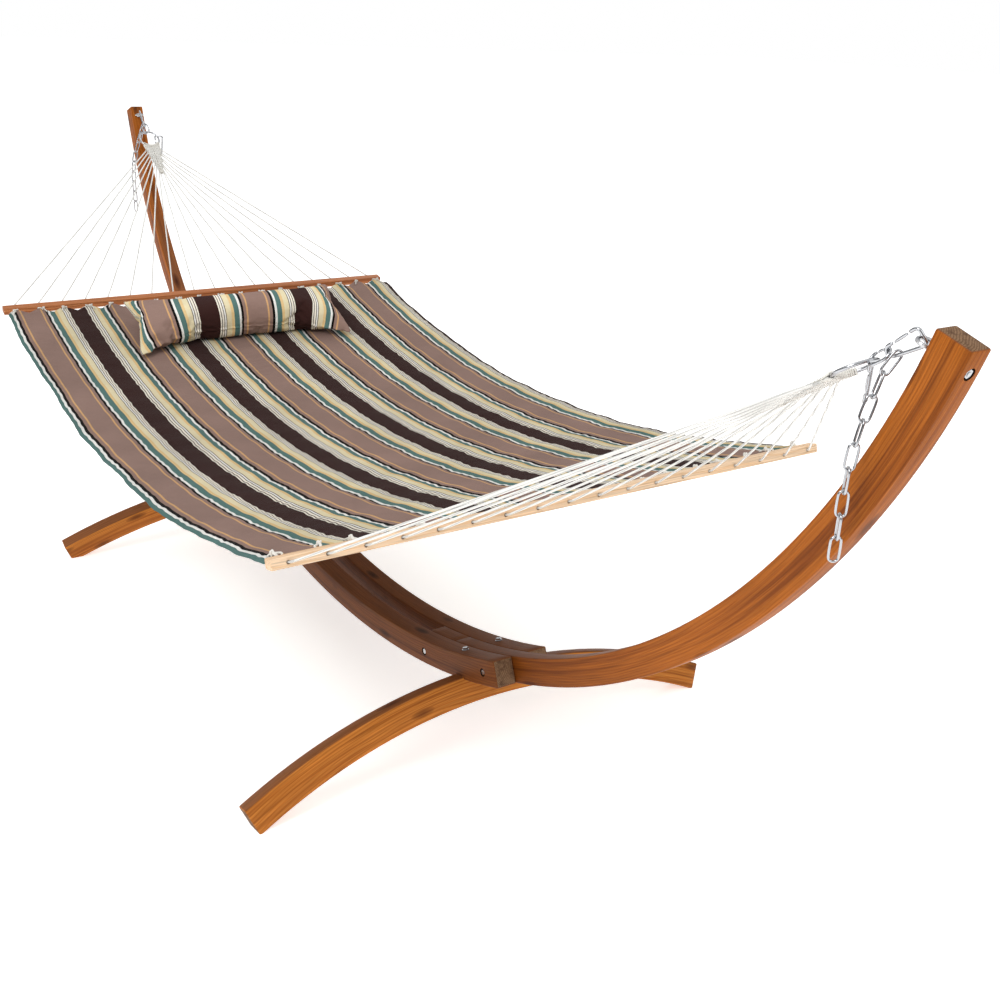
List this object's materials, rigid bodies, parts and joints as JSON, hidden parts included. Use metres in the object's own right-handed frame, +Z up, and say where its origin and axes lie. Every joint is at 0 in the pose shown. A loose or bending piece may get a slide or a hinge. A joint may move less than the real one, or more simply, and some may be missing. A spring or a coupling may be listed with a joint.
{
  "type": "hammock on stand",
  "caption": "Quilted striped hammock with spreader bars and a bolster pillow, hung by rings and clips from a curved timber stand on arched cross feet.",
  "frame": {"origin": "on the floor below the middle of the stand", "axes": "+X along the hammock towards the foot end, +Y across it, +Z up"},
  "size_m": [3.948, 1.41, 1.3589],
  "materials": {
    "stained_larch": "oiled, orange-brown",
    "pale_pine": "clear varnish",
    "reddish_pine": "stained",
    "zinc_steel": "bright zinc plate",
    "rope": "twisted cord",
    "striped_fabric": "quilted, striped"
  },
  "bodies": {
    "stand": {"back_rail": "stained_larch", "foot_back_foot_bolt": "zinc_steel", "foot_cross_foot": "stained_larch", "foot_end_beam": "stained_larch", "foot_end_spacer": "stained_larch", "foot_eye_bolt": "zinc_steel", "foot_eye_bolt_nut": "zinc_steel", "foot_front_foot_bolt": "zinc_steel", "foot_side_bolt_1": "zinc_steel", "foot_side_bolt_2": "zinc_steel", "front_rail": "stained_larch", "head_back_foot_bolt": "zinc_steel", "head_cross_foot": "stained_larch", "head_end_beam": "stained_larch", "head_end_spacer": "stained_larch", "head_eye_bolt": "zinc_steel", "head_eye_bolt_nut": "zinc_steel", "head_front_foot_bolt": "zinc_steel", "head_side_bolt_1": "zinc_steel", "head_side_bolt_2": "zinc_steel"},
    "hammock": {"foot_carabiner": "zinc_steel", "foot_snap_link": "zinc_steel", "foot_ring": "zinc_steel", "foot_clew_and_ropes": "rope", "foot_spreader_bar": "pale_pine", "head_carabiner": "zinc_steel", "head_snap_link": "zinc_steel", "head_ring": "zinc_steel", "head_clew_and_ropes": "rope", "head_spreader_bar": "reddish_pine", "quilted_bed": "striped_fabric", "pillow": "striped_fabric"},
    "foot_carabiner_gate": {"foot_carabiner_gate": "zinc_steel"},
    "foot_snap_link_gate": {"foot_snap_link_gate": "zinc_steel"},
    "foot_spare_carabiner": {"foot_spare_carabiner": "zinc_steel"},
    "foot_spare_carabiner_gate": {"foot_spare_carabiner_gate": "zinc_steel"},
    "foot_chain_link_1": {"foot_chain_link_1": "zinc_steel"},
    "foot_chain_link_2": {"foot_chain_link_2": "zinc_steel"},
    "foot_chain_link_3": {"foot_chain_link_3": "zinc_steel"},
    "foot_chain_link_4": {"foot_chain_link_4": "zinc_steel"},
    "foot_chain_link_5": {"foot_chain_link_5": "zinc_steel"},
    "foot_chain_link_6": {"foot_chain_link_6": "zinc_steel"},
    "foot_chain_link_7": {"foot_chain_link_7": "zinc_steel"},
    "foot_chain_link_8": {"foot_chain_link_8": "zinc_steel"},
    "foot_chain_link_9": {"foot_chain_link_9": "zinc_steel"},
    "head_carabiner_gate": {"head_carabiner_gate": "zinc_steel"},
    "head_snap_link_gate": {"head_snap_link_gate": "zinc_steel"},
    "head_spare_carabiner": {"head_spare_carabiner": "zinc_steel"},
    "head_spare_carabiner_gate": {"head_spare_carabiner_gate": "zinc_steel"},
    "head_chain_link_1": {"head_chain_link_1": "zinc_steel"},
    "head_chain_link_2": {"head_chain_link_2": "zinc_steel"},
    "head_chain_link_3": {"head_chain_link_3": "zinc_steel"},
    "head_chain_link_4": {"head_chain_link_4": "zinc_steel"},
    "head_chain_link_5": {"head_chain_link_5": "zinc_steel"},
    "head_chain_link_6": {"head_chain_link_6": "zinc_steel"},
    "head_chain_link_7": {"head_chain_link_7": "zinc_steel"},
    "head_chain_link_8": {"head_chain_link_8": "zinc_steel"},
    "head_chain_link_9": {"head_chain_link_9": "zinc_steel"}
  },
  "joints": [
    {"name": "hammock_swing", "type": "hinge", "parent": "stand", "child": "hammock", "pos_m": [1.86977, 0, 1.3327], "axis": [1, 0, 0], "range_deg": [-20, 20]},
    {"name": "foot_carabiner_gate_hinge", "type": "hinge", "parent": "hammock", "child": "foot_carabiner_gate", "pos_m": [1.82869, -0.00244, 1.31611], "axis": [-0.1379, 0.9703, 0.1988], "range_deg": [0, 22], "stiffness_Nm_per_rad": 0.05},
    {"name": "foot_snap_link_gate_hinge", "type": "hinge", "parent": "hammock", "child": "foot_snap_link_gate", "pos_m": [1.79535, 0.00868, 1.292], "axis": [0.396, 0.7193, -0.5707], "range_deg": [0, 22], "stiffness_Nm_per_rad": 0.02},
    {"name": "foot_spare_carabiner_swing", "type": "hinge", "parent": "hammock", "child": "foot_spare_carabiner", "pos_m": [1.76424, 0.0365, 1.25947], "axis": [-0.8216, 0, -0.5701], "range_deg": [-25, 25]},
    {"name": "foot_spare_carabiner_gate_hinge", "type": "hinge", "parent": "foot_spare_carabiner", "child": "foot_spare_carabiner_gate", "pos_m": [1.76928, 0.02776, 1.21857], "axis": [-0.866, -0.5, 0], "range_deg": [0, 22], "stiffness_Nm_per_rad": 0.05},
    {"name": "foot_chain_link_1_hang", "type": "hinge", "parent": "hammock", "child": "foot_chain_link_1", "pos_m": [1.83567, 0.0023, 1.29782], "axis": [1, 0, 0], "range_deg": [-20, 20]},
    {"name": "foot_chain_link_2_hang", "type": "hinge", "parent": "foot_chain_link_1", "child": "foot_chain_link_2", "pos_m": [1.82693, -0.01405, 1.26707], "axis": [-0.2529, -0.8226, 0.5093], "range_deg": [0, 8]},
    {"name": "foot_chain_link_3_hang", "type": "hinge", "parent": "foot_chain_link_2", "child": "foot_chain_link_3", "pos_m": [1.82693, -0.02745, 1.23216], "axis": [-0.8368, 0.5112, -0.1962], "range_deg": [0, 8]},
    {"name": "foot_chain_link_4_hang", "type": "hinge", "parent": "foot_chain_link_3", "child": "foot_chain_link_4", "pos_m": [1.82693, -0.04052, 1.19626], "axis": [-0.5979, -0.7533, 0.2742], "range_deg": [0, 8]},
    {"name": "foot_chain_link_5_hang", "type": "hinge", "parent": "foot_chain_link_4", "child": "foot_chain_link_5", "pos_m": [1.82693, -0.04973, 1.15929], "axis": [-0.8269, 0.5456, -0.136], "range_deg": [0, 8]},
    {"name": "foot_chain_link_6_hang", "type": "hinge", "parent": "foot_chain_link_5", "child": "foot_chain_link_6", "pos_m": [1.82693, -0.05438, 1.12148], "axis": [-0.5768, -0.8108, 0.0995], "range_deg": [0, 8]},
    {"name": "foot_chain_link_7_hang", "type": "hinge", "parent": "foot_chain_link_6", "child": "foot_chain_link_7", "pos_m": [1.82693, -0.05571, 1.0834], "axis": [-0.8191, 0.5733, -0.02], "range_deg": [0, 8]},
    {"name": "foot_chain_link_8_hang", "type": "hinge", "parent": "foot_chain_link_7", "child": "foot_chain_link_8", "pos_m": [1.82693, -0.05571, 1.0452], "axis": [-0.5739, -0.8189, 0], "range_deg": [0, 8]},
    {"name": "foot_chain_link_9_hang", "type": "hinge", "parent": "foot_chain_link_8", "child": "foot_chain_link_9", "pos_m": [1.82693, -0.05571, 1.0069], "axis": [-0.8189, 0.5739, 0], "range_deg": [0, 8]},
    {"name": "head_carabiner_gate_hinge", "type": "hinge", "parent": "hammock", "child": "head_carabiner_gate", "pos_m": [-1.83058, -0.00244, 1.31204], "axis": [-0.1573, -0.9703, -0.1838], "range_deg": [0, 22], "stiffness_Nm_per_rad": 0.05},
    {"name": "head_snap_link_gate_hinge", "type": "hinge", "parent": "hammock", "child": "head_snap_link_gate", "pos_m": [-1.79984, 0.00868, 1.28469], "axis": [0.4516, -0.7193, 0.5278], "range_deg": [0, 22], "stiffness_Nm_per_rad": 0.02},
    {"name": "head_spare_carabiner_swing", "type": "hinge", "parent": "hammock", "child": "head_spare_carabiner", "pos_m": [-1.77218, 0.0365, 1.24919], "axis": [0.7598, 0, -0.6502], "range_deg": [-25, 25]},
    {"name": "head_spare_carabiner_gate_hinge", "type": "hinge", "parent": "head_spare_carabiner", "child": "head_spare_carabiner_gate", "pos_m": [-1.77722, 0.02776, 1.20958], "axis": [-0.866, 0.5, 0], "range_deg": [0, 22], "stiffness_Nm_per_rad": 0.05},
    {"name": "head_chain_link_1_hang", "type": "hinge", "parent": "hammock", "child": "head_chain_link_1", "pos_m": [-1.83937, 0.0023, 1.29455], "axis": [1, 0, 0], "range_deg": [-20, 20]},
    {"name": "head_chain_link_2_hang", "type": "hinge", "parent": "head_chain_link_1", "child": "head_chain_link_2", "pos_m": [-1.8308, -0.01373, 1.26441], "axis": [-0.2529, 0.8226, -0.5093], "range_deg": [0, 8]},
    {"name": "head_chain_link_3_hang", "type": "hinge", "parent": "head_chain_link_2", "child": "head_chain_link_3", "pos_m": [-1.8308, -0.02713, 1.22949], "axis": [-0.8368, -0.5112, 0.1962], "range_deg": [0, 8]},
    {"name": "head_chain_link_4_hang", "type": "hinge", "parent": "head_chain_link_3", "child": "head_chain_link_4", "pos_m": [-1.8308, -0.0402, 1.19359], "axis": [-0.5979, 0.7533, -0.2742], "range_deg": [0, 8]},
    {"name": "head_chain_link_5_hang", "type": "hinge", "parent": "head_chain_link_4", "child": "head_chain_link_5", "pos_m": [-1.8308, -0.04941, 1.15662], "axis": [-0.8269, -0.5456, 0.136], "range_deg": [0, 8]},
    {"name": "head_chain_link_6_hang", "type": "hinge", "parent": "head_chain_link_5", "child": "head_chain_link_6", "pos_m": [-1.8308, -0.05406, 1.11881], "axis": [-0.5768, 0.8108, -0.0995], "range_deg": [0, 8]},
    {"name": "head_chain_link_7_hang", "type": "hinge", "parent": "head_chain_link_6", "child": "head_chain_link_7", "pos_m": [-1.8308, -0.05539, 1.08073], "axis": [-0.8191, -0.5733, 0.02], "range_deg": [0, 8]},
    {"name": "head_chain_link_8_hang", "type": "hinge", "parent": "head_chain_link_7", "child": "head_chain_link_8", "pos_m": [-1.8308, -0.05539, 1.04253], "axis": [-0.5739, 0.8189, 0], "range_deg": [0, 8]},
    {"name": "head_chain_link_9_hang", "type": "hinge", "parent": "head_chain_link_8", "child": "head_chain_link_9", "pos_m": [-1.8308, -0.05539, 1.00423], "axis": [-0.8189, -0.5739, 0], "range_deg": [0, 8]}
  ],
  "couplings": [
    {"joint": "foot_chain_link_1_hang", "follows": "hammock_swing", "ratio": -1},
    {"joint": "head_chain_link_1_hang", "follows": "hammock_swing", "ratio": -1}
  ]
}
